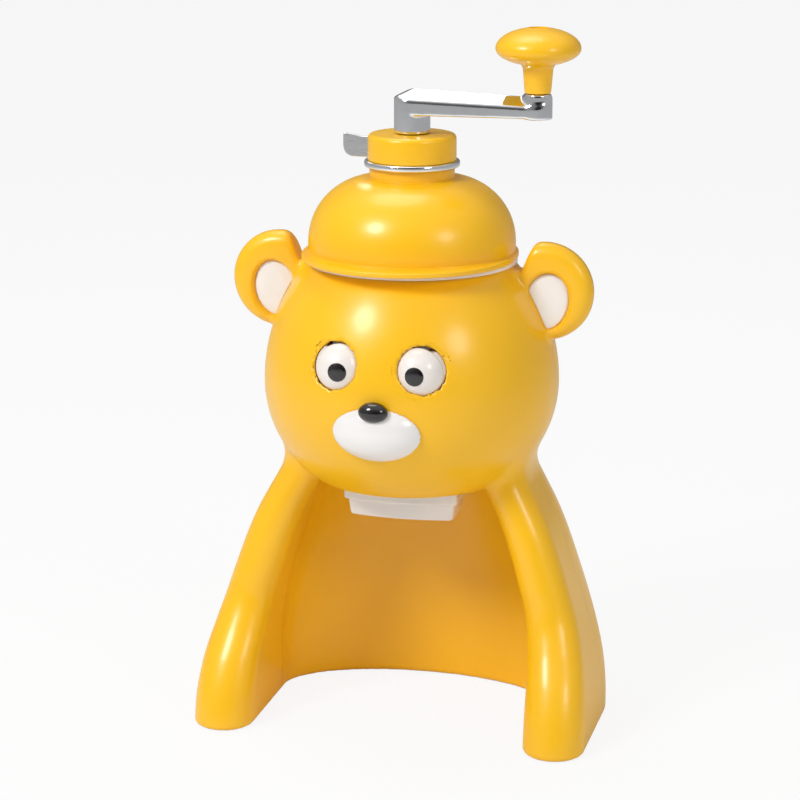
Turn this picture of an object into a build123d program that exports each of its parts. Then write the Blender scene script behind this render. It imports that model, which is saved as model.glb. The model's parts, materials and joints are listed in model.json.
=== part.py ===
"""Hand-cranked table ice shaver: a C-shaped stand that carries a rounded, bear-like head.

The lid holds a sliding quick-release nut and a crank spindle with an ice claw. The head holds a lift-out
ice hopper with a blade in its floor, and two eyes that glance from side to side on vertical pivots.
Millimetres. +X is to the right of someone who looks at the face, -Y is the front, +Z is up.
The origin is on the table, under the spindle axis, in the middle of the object's box.
"""

from build123d import *
import math
import os

os.makedirs("parts", exist_ok=True)

# ---------------------------------------------------------------- walls and clearances
WALL = 2.8                  # moulded yellow shells
TURN_GAP = 0.15             # radial clearance of pivots and of the spindle in its guides
MOVE_GAP = 0.4              # clearance between faces that pass each other
PAD_PROUD = 0.6             # the rubber pads stand this far below the shells

# ---------------------------------------------------------------- stand
# one row per level: height, half width, leg thickness, leg tip centre, outer back
STAND_LEVELS = (
    (0.0, 103.0, 31.5, -53.0, 84.0),
    (16.0, 102.8, 31.5, -49.5, 82.7),
    (34.0, 100.8, 30.0, -42.0, 80.7),
    (50.0, 97.2, 28.0, -32.5, 78.8),
    (62.0, 93.8, 26.5, -27.0, 77.2),
    (80.0, 88.0, 25.5, -24.5, 74.7),
    (108.0, 77.5, 24.5, -21.0, 71.0),
    (132.0, 65.0, 24.0, -16.0, 67.0),
    (150.0, 56.0, 24.0, -12.0, 63.0),
)
ARCH_BACK = 43.0            # inner back of the space for the bowl
CURVE_START = 5.0           # where the sides of the stand turn into its back
SPLIT_Y = -1.0              # parting plane of the front and rear shells
BASE_THICK = 2.5
PAD_R = 8.0
PAD_SINK = 1.4              # depth of the pads' pockets in the base plate
PAD_SPOTS = ((86.0, -48.0), (46.0, 58.0))

# ---------------------------------------------------------------- head
HEAD_R = 76.0
HEAD_MID_Z = 178.0
HEAD_ARC_LOW = 61.5         # radius of the head's side below its widest place
HEAD_ARC_HIGH = 92.0        # and above it
HEAD_FLOOR_Z = 126.0
HEAD_RIM_Z = 240.0
EAR_X, EAR_Z = 69.5, 227.5
EAR_R, EAR_HALF = 25.2, 7.0
DISH_WIDE, DISH_HIGH, DISH_DEEP = 11.4, 14.9, 4.0   # half sizes of the oval dish, and its depth
DISH_OUT, DISH_DOWN = 1.7, 4.8  # the dish's middle from the ear's
DISH_LEAN = 12.0            # the dish's top leans to the head by this angle
LID_WAY_GAP = 4.0           # room between the brim and the ears
LID_WAY_DROP = 2.0          # the ears' cut for the lid starts this far below the head's rim
LID_WAY_FLARE = 22.0        # the ears' cut for the lid opens upwards by this angle
PAD_THICK = 2.2
MUZZLE_HALF, MUZZLE_R = 25.0, 17.0
MUZZLE_Y, MUZZLE_Z = -65.0, 168.0
NOSE_HALF, NOSE_R = 7.5, 5.3
NOSE_Y, NOSE_Z = -78.7, 179.0
SCREW_SPOTS = ((84.0, 36.0), (52.0, 205.0))
RIB_SPOTS = (-42.0, 0.0, 42.0)   # webs between the arch wall and the back
RIB_TOP = 112.0

# ---------------------------------------------------------------- eyes and what drives them
EYE_X, EYE_Y, EYE_Z = 19.5, -61.0, 197.0
EYE_R = 14.0
EYE_FLAT = 10.5             # half height between the flats above and below the ball
EYE_BACK = 4.0
PUPIL_R, PUPIL_SINK = 4.6, 3.0
AXLE_R = 2.0
CARRIER_THICK = 2.0
EYE_ARM = 8.0               # from an eye's axle to its drive pin
EYE_ARM_TURN = 20.0         # the arms point to +X, turned back by this angle
DRIVE_PIN_R = 1.2
ARM_THICK = 2.0
ARM_TOP = EYE_Z - EYE_FLAT - 3.5
YOKE_THICK = 2.0
YOKE_TOP = ARM_TOP - ARM_THICK - 1.0
FOLLOWER_R = 1.5
FOLLOWER_Y = -41.0
FOLLOWER_TOP = 249.0

# ---------------------------------------------------------------- hopper and blade
HOPPER_IN = 34.0
HOPPER_WALL = 2.4
HOPPER_FOOT_R = 39.5
HOPPER_FLOOR = 3.0
FLANGE_R, FLANGE_THICK = 54.0, 2.4
LOCK_RING_IN, LOCK_RING_OUT, LOCK_RING_HIGH = 44.0, 46.2, 3.6
LUG_DEEP, LUG_HIGH, LUG_ARC = 2.2, 1.6, 26.0
FEED_HALF, FEED_FRONT, FEED_BACK = 24.0, -21.0, -13.0
CHUTE_HALF, CHUTE_FRONT, CHUTE_BACK = 30.0, -25.4, 3.0
CHUTE_BOW = 3.4
CHUTE_STEP_Z, CHUTE_LOW_Z = 118.0, 109.0
CHUTE_INSET, CHUTE_TAPER = 1.8, 1.2
HOLDER_SCREW_X, HOLDER_SCREW_Y = 21.0, -5.0
BLADE_HALF, BLADE_LONG, BLADE_THICK = 22.0, 11.5, 1.2
BLADE_TILT = 30.0
BLADE_PROUD = 0.25

# ---------------------------------------------------------------- lid and collar
CROWN_R = 53.0
CROWN_ARC = 33.0            # the crown's wall turns over with this radius
CROWN_SHOULDER_Z = 250.0
LID_WALL = 2.6
BRIM_R, BRIM_FRONT, BRIM_THICK = 54.5, 64.0, 3.2
NECK_R = 21.6
RING_R, RING_LOW, RING_TOP = 24.3, 288.4, 291.7
SPIGOT_R, DECK_Z = 19.8, 292.0
DECK_THICK = 3.0
BOSS_R, BOSS_LOW_Z = 14.5, 254.0
SNAP_Z, SNAP_R = 262.0, 12.4
COLLAR_R, COLLAR_TOP, COLLAR_WALL = 22.5, 305.0, 2.5
TAB_REACH, TAB_THICK = 36.0, 1.6
TAB_ROOT_TOP, TAB_TIP_TOP, TAB_LOW = 302.6, 304.4, 292.1
NUT_BACK, NUT_FRONT, NUT_HALF, NUT_TOP = -16.0, 13.5, 9.0, 300.4
NUT_TRAVEL = 3.0

# ---------------------------------------------------------------- spindle, crank and knob
SPINDLE_R = 6.0
KEY_HALF, KEY_ROOT = 1.2, 4.4
SPINDLE_LOW = 137.0
TENON_R, TENON_TOP = 4.6, 317.0
CAM_R, CAM_OFFSET, CAM_THICK, CAM_LOW = 34.5, 2.1, 3.0, 246.5
CAM_HUB_R, BARB_R = 10.0, 10.9
CLAW_R, CLAW_LOW, CLAW_THICK, CLAW_TOP = 30.0, 135.0, 3.5, 147.0
CLAW_HUB_R = 10.0
SPIKE_HIGH, SPIKE_R = 3.5, 2.4
SPIKE_RINGS = ((26.8, 10, 0.0), (19.0, 6, 30.0))
BOSS_TOP_R = 9.2
CRANK_LOW = 315.0
CRANK_X = 64.3
CRANK_END_R = 6.8
CRANK_END_TOP = 327.1
# one row per section of the arm: place, half width, eave, ridge
ARM_SECTIONS = ((-9.3, 9.0, 322.6, 323.4), (0.0, 9.0, 323.0, 328.0), (72.0, 6.6, 320.6, 325.0))
KNOB_PIN_R = 3.0
KNOB_GAP = 0.3              # between the arm's hub and the knob
STEM_LONG = 13.6            # from the knob's foot to its underside
KNOB_R, KNOB_UNDER, KNOB_RISE = 21.3, 8.5, 10.5
STEM_LOW_R, STEM_TOP_R = 6.6, 7.6
SEAT_DEEP = 5.0             # the screw's recess in the knob's top
SEAT_R = 5.2
KNOB_LOW = CRANK_END_TOP + KNOB_GAP
KNOB_MID = KNOB_LOW + STEM_LONG + KNOB_UNDER
KNOB_TOP = KNOB_MID + KNOB_RISE
KNOB_SEAT = KNOB_TOP - SEAT_DEEP


# ---------------------------------------------------------------- shapes used more than once
def upright(radius, z0, z1, x=0.0, y=0.0):
    """A vertical cylinder from z0 to z1."""
    return Pos(x, y, (z0 + z1) / 2) * Cylinder(radius, z1 - z0)


def tube(outer, inner, z0, z1):
    return upright(outer, z0, z1) - upright(inner, z0 - 1, z1 + 1)


def block(x0, x1, y0, y1, z0, z1):
    return Pos((x0 + x1) / 2, (y0 + y1) / 2, (z0 + z1) / 2) * Box(x1 - x0, y1 - y0, z1 - z0)


def along_y(radius, y0, y1, x, z):
    """A cylinder that runs from front to back."""
    return Pos(x, (y0 + y1) / 2, z) * Rot(90, 0, 0) * Cylinder(radius, y1 - y0)


def turned(*corners):
    """A solid turned about the spindle axis from (radius, height) corners."""
    outline = Polyline(*[(r, 0, z) for r, z in corners], close=True)
    return revolve(make_face(outline), Axis.Z)


def capsule(half, radius):
    """A round bar along X with ball ends."""
    flat = half - radius
    reach = flat + radius * math.sqrt(0.5)
    with BuildPart() as part:
        with BuildSketch():
            with BuildLine():
                ThreePointArc((-half, 0), (-reach, radius * math.sqrt(0.5)), (-flat, radius))
                Line((-flat, radius), (flat, radius))
                ThreePointArc((flat, radius), (reach, radius * math.sqrt(0.5)), (half, 0))
                Line((half, 0), (-half, 0))
            make_face()
        revolve(axis=Axis.X)
    return part.part


def both_sides(solid):
    """The solid and its mirror image across the YZ plane."""
    return solid + mirror(solid, Plane.YZ)


# ---------------------------------------------------------------- outer form
def stand_section(z, half_width, leg, tip_y, back, inset):
    """The C of the stand at one height, with its wall drawn in by inset on every side."""
    outer = half_width - inset
    inner = half_width - leg + inset
    tip_r = (outer - inner) / 2
    tip_x = (outer + inner) / 2
    back_rise = back - inset - CURVE_START
    arch_rise = ARCH_BACK + inset - CURVE_START
    with BuildSketch(Plane.XY.offset(z)) as sketch:
        with BuildLine():
            Line((-outer, tip_y), (-outer, CURVE_START))
            EllipticalCenterArc((0, CURVE_START), outer, back_rise, start_angle=0, arc_size=180)
            Line((outer, CURVE_START), (outer, tip_y))
            ThreePointArc((outer, tip_y), (tip_x, tip_y - tip_r), (inner, tip_y))
            Line((inner, tip_y), (inner, CURVE_START))
            EllipticalCenterArc((0, CURVE_START), inner, arch_rise, start_angle=0, arc_size=180)
            Line((-inner, CURVE_START), (-inner, tip_y))
            ThreePointArc((-inner, tip_y), (-tip_x, tip_y - tip_r), (-outer, tip_y))
        make_face()
    return sketch.sketch


def stand_solid(inset=0.0):
    return loft([stand_section(*level, inset) for level in STAND_LEVELS])


def egg_radius(z, inset=0.0):
    """The head's radius at a height: one arc above the widest place, a tighter one below it."""
    arc = HEAD_ARC_HIGH if z > HEAD_MID_Z else HEAD_ARC_LOW
    return HEAD_R - arc + math.sqrt((arc - inset) ** 2 - (z - HEAD_MID_Z) ** 2)


def head_solid(inset=0.0):
    low, high = HEAD_FLOOR_Z + inset, HEAD_RIM_Z - inset
    low_mid, high_mid = (low + HEAD_MID_Z) / 2, (high + HEAD_MID_Z) / 2
    widest = (HEAD_R - inset, HEAD_MID_Z)
    with BuildPart() as part:
        with BuildSketch(Plane.XZ):
            with BuildLine():
                Polyline((egg_radius(high, inset), high), (0, high), (0, low), (egg_radius(low, inset), low))
                ThreePointArc((egg_radius(low, inset), low), (egg_radius(low_mid, inset), low_mid), widest)
                ThreePointArc(widest, (egg_radius(high_mid, inset), high_mid), (egg_radius(high, inset), high))
            make_face()
        revolve(axis=Axis.Z)
    return part.part


def ear_blank(inset=0.0):
    """A thick disc with a full round rim, facing the front."""
    core = EAR_R - EAR_HALF
    half = EAR_HALF - inset
    with BuildPart() as part:
        with BuildSketch(Plane.XZ):
            with BuildLine():
                Line((0, -half), (core, -half))
                ThreePointArc((core, -half), (core + half, 0), (core, half))
                Polyline((core, half), (0, half), (0, -half))
            make_face()
        revolve(axis=Axis.Z)
    return Pos(EAR_X, SPLIT_Y, EAR_Z) * Rot(90, 0, 0) * part.part


def dish(y0, y1, grow=0.0):
    """The oval of the right ear's dish, as a solid that runs from front to back."""
    oval = Plane.XZ.offset(-y1) * Rot(0, 0, DISH_LEAN) * Ellipse(DISH_WIDE + grow, DISH_HIGH + grow)
    return Pos(EAR_X + DISH_OUT, 0, EAR_Z - DISH_DOWN) * extrude(oval, amount=y1 - y0)


def ear_solid(inset=0.0):
    front = SPLIT_Y - EAR_HALF
    low, high = HEAD_RIM_Z - LID_WAY_DROP - inset, EAR_Z + EAR_R + 1
    low_r = BRIM_R + LID_WAY_GAP + inset
    high_r = low_r + (high - low) * math.tan(math.radians(LID_WAY_FLARE))
    lid_way = Pos(0, 0, (low + high) / 2) * Cone(low_r, high_r, high - low)
    return ear_blank(inset) - dish(front - 1, front + DISH_DEEP + inset, inset) - lid_way


def ear():
    """The hollow right ear. It is moulded with the covers, but it is a node of its own, so that its
    collision pieces keep clear of the lid."""
    return ear_solid() - ear_solid(WALL) - head_solid(-TURN_GAP)


def eye_sockets(clearance):
    return both_sides(Pos(EYE_X, EYE_Y, EYE_Z) * Sphere(EYE_R + clearance))


def build_covers():
    """The yellow front and rear shells, and the solid that their outside encloses."""
    outer = stand_solid() + head_solid()
    inner = stand_solid(WALL) + head_solid(WALL)
    walls = outer - inner
    walls -= upright(HOPPER_FOOT_R + 0.5, HEAD_FLOOR_Z - 1, HEAD_FLOOR_Z + WALL + 1)
    walls -= upright(HOPPER_FOOT_R + 1.0, HEAD_RIM_Z - WALL - 1, HEAD_RIM_Z + 1)
    walls -= follower_slot(HEAD_RIM_Z - WALL - 1, HEAD_RIM_Z + 1)
    walls -= eye_sockets(MOVE_GAP)
    walls -= block(-120, 120, -120, 120, -1, PAD_PROUD)
    front_half = block(-120, 120, -120, SPLIT_Y, 0, 300)
    rear_half = block(-120, 120, SPLIT_Y, 120, 0, 300)
    front = walls & front_half
    rear = walls & rear_half
    for x in RIB_SPOTS:
        rear += block(x - 1, x + 1, ARCH_BACK - 10, 90, 6, RIB_TOP) & stand_solid(1.0)
    for x, z in SCREW_SPOTS:
        front += both_sides(screw_post(x, z, SPLIT_Y - 14, SPLIT_Y) & outer)
        rear += both_sides(screw_post(x, z, SPLIT_Y, 100) & outer)
        front -= both_sides(along_y(1.5, SPLIT_Y - 13, SPLIT_Y + 1, x, z))
        rear -= both_sides(along_y(1.7, SPLIT_Y - 1, 100, x, z))
        rear -= both_sides(along_y(3.4, SPLIT_Y + 12, 100, x, z))
    return front, rear, outer


def screw_post(x, z, y0, y1):
    """A boss for a case screw, with a web that ties it to the side wall."""
    return along_y(4.6, y0, y1, x, z) + block(x, x + 30, y0, y1, z - 1, z + 1)


def case_screws():
    screws = []
    for x, z in SCREW_SPOTS:
        for side in (-1, 1):
            shank = along_y(1.5, SPLIT_Y - 11, SPLIT_Y + 12, side * x, z)
            screws.append(shank + along_y(3.0, SPLIT_Y + 12, SPLIT_Y + 14.5, side * x, z))
    return Compound(children=screws)


def follower_slot(z0, z1):
    """The way through a plate for the follower post, with its stroke."""
    return block(-2.6, 2.6, FOLLOWER_Y - 5.0, FOLLOWER_Y + 4.5, z0, z1)


# ---------------------------------------------------------------- base
def base_plate():
    slab = block(-120, 120, -120, 120, PAD_PROUD, PAD_PROUD + BASE_THICK)
    plate = stand_solid(WALL) & slab
    for x, y in PAD_SPOTS:
        plate -= both_sides(upright(PAD_R, 0, PAD_PROUD + PAD_SINK, x, y))
    return plate


def foot_pads():
    pads = []
    for x, y in PAD_SPOTS:
        for side in (-1, 1):
            pads.append(upright(PAD_R, 0, PAD_PROUD + PAD_SINK, side * x, y))
    return Compound(children=pads)


# ---------------------------------------------------------------- face
def ear_pad():
    floor = SPLIT_Y - EAR_HALF + DISH_DEEP
    return dish(floor - PAD_THICK, floor) - head_solid(-TURN_GAP)


def muzzle(outer):
    return Pos(0, MUZZLE_Y, MUZZLE_Z) * capsule(MUZZLE_HALF, MUZZLE_R) - outer


def nose(outer):
    ball = Pos(0, NOSE_Y, NOSE_Z) * capsule(NOSE_HALF, NOSE_R)
    return ball - Pos(0, MUZZLE_Y, MUZZLE_Z) * capsule(MUZZLE_HALF, MUZZLE_R) - outer


def eye(side):
    """A ball with flats, open to its back, and an axle through it."""
    x = side * EYE_X
    ball = Pos(x, EYE_Y, EYE_Z) * Sphere(EYE_R)
    ball &= block(x - 20, x + 20, EYE_Y - 20, EYE_Y + EYE_BACK, EYE_Z - EYE_FLAT, EYE_Z + EYE_FLAT)
    ball -= along_y(PUPIL_R, EYE_Y - 20, EYE_Y - EYE_R + PUPIL_SINK, x, EYE_Z)
    return ball + upright(AXLE_R, ARM_TOP - ARM_THICK, EYE_Z + EYE_FLAT + 2.6, x, EYE_Y)


def pupil(side):
    x = side * EYE_X
    cap = Pos(x, EYE_Y, EYE_Z) * Sphere(EYE_R + 0.3)
    return cap & along_y(PUPIL_R, EYE_Y - 20, EYE_Y - EYE_R + PUPIL_SINK, x, EYE_Z)


def arm_tip(side):
    turn = math.radians(EYE_ARM_TURN)
    return side * EYE_X + EYE_ARM * math.cos(turn), EYE_Y + EYE_ARM * math.sin(turn)


def eye_arm(side):
    """The small lever pressed on the lower end of an eye's axle, with its drive pin."""
    x, y = arm_tip(side)
    middle = Pos((side * EYE_X + x) / 2, (EYE_Y + y) / 2, ARM_TOP - ARM_THICK)
    outline = SlotCenterToCenter(EYE_ARM, 7.0, rotation=EYE_ARM_TURN)
    lever = middle * extrude(outline, amount=ARM_THICK)
    lever -= upright(AXLE_R, ARM_TOP - 3, ARM_TOP + 1, side * EYE_X, EYE_Y)
    return lever + upright(DRIVE_PIN_R, YOKE_TOP - YOKE_THICK - 1, ARM_TOP - 1, x, y)


def eye_yoke():
    """The bar that turns both eyes, with the post that follows the cam."""
    left, y = arm_tip(-1)
    right = arm_tip(1)[0]
    low = YOKE_TOP - YOKE_THICK
    yoke = block(left - 5.2, right + 5.2, y - 3.2, y + 3.2, low, YOKE_TOP)
    for x in (left, right):
        yoke -= Pos(x, y, YOKE_TOP - 1) * extrude(SlotOverall(6.0, 3.1), amount=4, both=True)
    yoke += block(-3, 3, y, FOLLOWER_Y, low, YOKE_TOP)
    return yoke + upright(FOLLOWER_R, low, FOLLOWER_TOP, 0, FOLLOWER_Y)


def eye_carrier():
    """The bracket behind the face that both eye axles turn in."""
    top = EYE_Z + EYE_FLAT + 0.8
    low = EYE_Z - EYE_FLAT - 0.8
    wall_y = EYE_Y + 10.0
    half = EYE_X + 5.0
    frame = block(-half, half, EYE_Y - 4.5, wall_y, top, top + CARRIER_THICK)
    frame += block(-half, half, EYE_Y - 4.5, wall_y, low - CARRIER_THICK, low)
    frame += block(-half, half, wall_y - CARRIER_THICK, wall_y, low - CARRIER_THICK, top + CARRIER_THICK)
    for side in (-1, 1):
        hole_x = side * EYE_X
        frame -= upright(AXLE_R + TURN_GAP, low - 3, top + 4, hole_x, EYE_Y)
    return frame & head_solid(WALL)


def eye_spring():
    """Keeps the follower post on its cam."""
    start = EYE_Y + 10.0
    length = FOLLOWER_Y - FOLLOWER_R - start
    return coil(2.2, 0.35, length, 5, Pos(0, start, EYE_Z) * Rot(-90, 0, 0))


def coil(radius, wire_r, length, turns, place):
    """A compression spring along Z, moved to its place."""
    run = length - 2 * wire_r
    path = Helix(pitch=run / turns, height=run, radius=radius)
    ring = Plane(origin=path @ 0, z_dir=path % 0) * Circle(wire_r)
    return place * Pos(0, 0, wire_r) * sweep(ring, path=path)


# ---------------------------------------------------------------- hopper
def lugs(inner, outer, z0, first_angle):
    """Three bayonet lugs round the rim."""
    ring = tube(outer, inner, z0, z0 + LUG_HIGH)
    half = math.tan(math.radians(LUG_ARC / 2)) * 60
    wedge = extrude(make_face(Polyline((0, 0, 0), (60, half, 0), (60, -half, 0), close=True)), amount=LUG_HIGH)
    kept = [Rot(0, 0, first_angle + 120 * k) * Pos(0, 0, z0) * wedge for k in range(3)]
    return [ring & piece for piece in kept]


def hopper_rim():
    """The flange that hangs on the head's rim, with the lid's lock ring. It is moulded with the cup, but it is
    a node of its own, so that the collision pieces of both leave the cup open."""
    top = HEAD_RIM_Z + FLANGE_THICK
    body = tube(FLANGE_R, HOPPER_IN + HOPPER_WALL + TURN_GAP, HEAD_RIM_Z, top)
    body += tube(LOCK_RING_OUT, LOCK_RING_IN, top - 1, top + LOCK_RING_HIGH)
    for lug in lugs(LOCK_RING_OUT - 1, LOCK_RING_OUT + LUG_DEEP, top + LOCK_RING_HIGH - LUG_HIGH, 90):
        body += lug
    return body - follower_slot(HEAD_RIM_Z - 1, top + LOCK_RING_HIGH + 1)


def hopper():
    """The ice cup and its floor, with the slot over the blade."""
    outer = HOPPER_IN + HOPPER_WALL
    body = tube(outer, HOPPER_IN, HEAD_FLOOR_Z + 1, HEAD_RIM_Z + FLANGE_THICK)
    foot = upright(HOPPER_FOOT_R, HEAD_FLOOR_Z, HEAD_FLOOR_Z + HOPPER_FLOOR)
    foot &= block(-50, 50, CHUTE_FRONT - 5, 50, 0, 300)
    body += foot
    body -= block(-FEED_HALF, FEED_HALF, FEED_FRONT, FEED_BACK, HEAD_FLOOR_Z - 1, HEAD_FLOOR_Z + 4)
    for screw in holder_screw_list():
        body -= screw
    return body


def chute_plan(z, inset):
    half, front, back = CHUTE_HALF - inset, CHUTE_FRONT + inset, CHUTE_BACK - inset
    with BuildSketch(Plane.XY.offset(z)) as sketch:
        with BuildLine():
            ThreePointArc((-half, front), (0, front - CHUTE_BOW), (half, front))
            Polyline((half, front), (half, back), (-half, back), (-half, front))
        make_face()
    return sketch.sketch


def blade():
    """A steel plate with a ground edge that stands just above the hopper's floor."""
    plate = block(-BLADE_HALF, BLADE_HALF, 0, BLADE_LONG, -BLADE_THICK, 0)
    edge = plate.edges().group_by(Axis.Y)[0].group_by(Axis.Z)[0]
    plate = chamfer(edge, length=BLADE_THICK * 0.8, length2=2.4)
    floor_top = HEAD_FLOOR_Z + HOPPER_FLOOR
    return Pos(0, FEED_FRONT + 1, floor_top + BLADE_PROUD) * Rot(-BLADE_TILT, 0, 0) * plate


def blade_holder():
    body = extrude(chute_plan(CHUTE_STEP_Z, 0), amount=HEAD_FLOOR_Z - CHUTE_STEP_Z)
    body += loft([chute_plan(CHUTE_LOW_Z, CHUTE_INSET + CHUTE_TAPER), chute_plan(CHUTE_STEP_Z, CHUTE_INSET)])
    body -= block(-BLADE_HALF, BLADE_HALF, FEED_FRONT - 1, FEED_BACK, CHUTE_LOW_Z - 1, HEAD_FLOOR_Z + 1)
    for screw in holder_screw_list():
        body -= screw
    body -= both_sides(upright(2.7, CHUTE_LOW_Z - 1, CHUTE_LOW_Z + 4, HOLDER_SCREW_X, HOLDER_SCREW_Y))
    return body - blade()


def holder_screw_list():
    head = CHUTE_LOW_Z + 4
    screws = []
    for side in (-1, 1):
        shank = upright(1.4, head, HEAD_FLOOR_Z + 2, side * HOLDER_SCREW_X, HOLDER_SCREW_Y)
        screws.append(shank + upright(2.5, head - 2, head, side * HOLDER_SCREW_X, HOLDER_SCREW_Y))
    return screws


# ---------------------------------------------------------------- lid
def crown(inset, low):
    """The dome of the lid: a straight wall that turns over into a flat top."""
    r = CROWN_R - inset
    top = CROWN_SHOULDER_Z + CROWN_ARC - inset
    start = CROWN_R - CROWN_ARC
    bend = CROWN_ARC - inset
    middle = bend * math.sqrt(0.5)
    with BuildPart() as part:
        with BuildSketch(Plane.XZ):
            with BuildLine():
                Polyline((0, top), (0, low), (r, low), (r, CROWN_SHOULDER_Z))
                ThreePointArc((r, CROWN_SHOULDER_Z), (start + middle, CROWN_SHOULDER_Z + middle), (start, top))
                Line((start, top), (0, top))
            make_face()
        revolve(axis=Axis.Z)
    return part.part


LID_Z = HEAD_RIM_Z + FLANGE_THICK


def brim():
    """A brim all round, a little deeper at the front."""
    back = Pos(0, 0, LID_Z) * Circle(BRIM_R)
    front_r = BRIM_R - 5
    front = Pos(0, front_r - BRIM_FRONT, LID_Z) * Circle(front_r)
    plate = extrude(make_hull((back + front).edges()), amount=BRIM_THICK)
    return plate - upright(CROWN_R - LID_WALL, LID_Z - 1, LID_Z + BRIM_THICK + 1)


def lid_shell():
    body = crown(0, LID_Z) + brim()
    body += upright(NECK_R, CROWN_SHOULDER_Z + CROWN_ARC - 1, RING_LOW)
    body += upright(SPIGOT_R, RING_LOW - 1, DECK_Z)
    body -= crown(LID_WALL, LID_Z - 1)
    body -= upright(NECK_R - LID_WALL, CROWN_SHOULDER_Z + CROWN_ARC - LID_WALL - 1, DECK_Z - DECK_THICK)
    body += tube(BOSS_R, SNAP_R, SNAP_Z, DECK_Z - DECK_THICK + 0.5)
    body += tube(BOSS_R, CAM_HUB_R + TURN_GAP, BOSS_LOW_Z, SNAP_Z)
    lug_in = LOCK_RING_OUT + 0.8
    for lug in lugs(lug_in, CROWN_R - LID_WALL + 0.5, LID_Z, 30):
        body += lug
    return body - upright(SPINDLE_R + 0.3, DECK_Z - DECK_THICK - 2, DECK_Z + 1)


def trim_ring():
    ring = tube(RING_R, SPIGOT_R, RING_LOW, RING_TOP)
    rim = ring.edges().filter_by(GeomType.CIRCLE).group_by(SortBy.RADIUS)[-1]
    return fillet(rim, 1.2)


def collar_cap():
    cap = upright(COLLAR_R, RING_TOP, COLLAR_TOP)
    top = cap.edges().filter_by(GeomType.CIRCLE).group_by(Axis.Z)[-1]
    cap = fillet(top, 2.6)
    cap -= upright(COLLAR_R - COLLAR_WALL, RING_TOP - 1, COLLAR_TOP - COLLAR_WALL)
    cap -= upright(SPINDLE_R + 0.3, COLLAR_TOP - 5, COLLAR_TOP + 1)
    slot_half = TAB_THICK / 2 + 0.4
    return cap - block(-COLLAR_R - 1, -10, -slot_half, slot_half, RING_TOP - 1, TAB_ROOT_TOP + 0.4)


def release_tab():
    """The metal thumb tab that pushes the nut off the spindle."""
    tip_r = 5.5
    with BuildSketch(Plane.XZ) as sketch:
        with BuildLine() as line:
            Polyline((-11.5, TAB_LOW), (-11.5, NUT_TOP), (-17.5, NUT_TOP), (-17.5, TAB_ROOT_TOP),
                     (-COLLAR_R - 4, TAB_ROOT_TOP), (-TAB_REACH, TAB_TIP_TOP), (-TAB_REACH, TAB_LOW + tip_r))
            RadiusArc((-TAB_REACH, TAB_LOW + tip_r), (-TAB_REACH + tip_r, TAB_LOW), -tip_r)
            Line((-TAB_REACH + tip_r, TAB_LOW), (-11.5, TAB_LOW))
        make_face()
    return extrude(sketch.sketch, amount=TAB_THICK / 2, both=True)


def nut_slide():
    """The sliding nut: its far side grips the spindle, and the tab moves it clear."""
    body = block(NUT_BACK, NUT_FRONT, -NUT_HALF, NUT_HALF, DECK_Z + TURN_GAP, NUT_TOP)
    body = fillet(body.edges().filter_by(Axis.Z), 3.0)
    bore = SPINDLE_R + TURN_GAP
    shift = NUT_TRAVEL + 0.3
    slot = SlotCenterToCenter(shift, 2 * bore)
    body -= Pos(-shift / 2, 0, DECK_Z - 1) * extrude(slot, amount=20)
    body -= block(NUT_BACK - 1, -11.5, -TAB_THICK / 2, TAB_THICK / 2, DECK_Z - 1, NUT_TOP + 1)
    return body - block(NUT_FRONT - 2, NUT_FRONT + 1, -2.9, 2.9, 293.2, 299.2)


def tab_spring():
    start = NUT_FRONT - 2
    length = COLLAR_R - COLLAR_WALL - start
    return coil(2.2, 0.35, length - 0.2, 5, Pos(start, 0, 296.2) * Rot(0, 90, 0))


# ---------------------------------------------------------------- what turns with the crank
def spindle():
    body = upright(SPINDLE_R, SPINDLE_LOW, COLLAR_TOP + MOVE_GAP)
    body += upright(TENON_R, COLLAR_TOP, TENON_TOP)
    body -= block(-KEY_HALF, KEY_HALF, KEY_ROOT, SPINDLE_R + 1, CLAW_TOP + 1, SNAP_Z)
    return body - claw_pin()


def claw_pin():
    return Pos(0, 0, 143) * Rot(0, 90, 0) * Cylinder(1.5, 2 * CLAW_HUB_R - 1)


def eye_cam():
    """The eccentric that nudges the follower post, keyed to the spindle and snapped into the lid."""
    top = CAM_LOW + CAM_THICK
    body = upright(CAM_R, CAM_LOW, top, CAM_OFFSET)
    body += upright(CAM_HUB_R, CAM_LOW, SNAP_Z + 2)
    body += upright(BARB_R, SNAP_Z + TURN_GAP, SNAP_Z + 1.6)
    bore = SPINDLE_R + TURN_GAP
    body -= upright(bore, CAM_LOW - 1, SNAP_Z + 3)
    for turn in (45, 135):
        slit = block(-12, 12, -1, 1, top + 2, SNAP_Z + 3)
        body -= Rot(0, 0, turn) * slit
    key = block(-KEY_HALF + TURN_GAP, KEY_HALF - TURN_GAP, KEY_ROOT + TURN_GAP, bore + 0.5, CAM_LOW, top + 2)
    return body + key


def ice_claw():
    body = upright(CLAW_R, CLAW_LOW, CLAW_LOW + CLAW_THICK)
    body += upright(CLAW_HUB_R, CLAW_LOW, CLAW_TOP)
    for k in range(6):
        rib = block(CLAW_HUB_R - 2, CLAW_R - 3, -1.2, 1.2, CLAW_LOW + 1, CLAW_LOW + CLAW_THICK + 2.5)
        body += Rot(0, 0, 60 * k) * rib
    for radius, count, first in SPIKE_RINGS:
        for k in range(count):
            angle = math.radians(first + 360 * k / count)
            spot = Pos(radius * math.cos(angle), radius * math.sin(angle), CLAW_LOW - SPIKE_HIGH / 2)
            body += spot * Rot(180, 0, 0) * Cone(SPIKE_R, 0.5, SPIKE_HIGH)
    body -= upright(SPINDLE_R, SPINDLE_LOW, CLAW_TOP + 1)
    return body - claw_pin()


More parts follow.
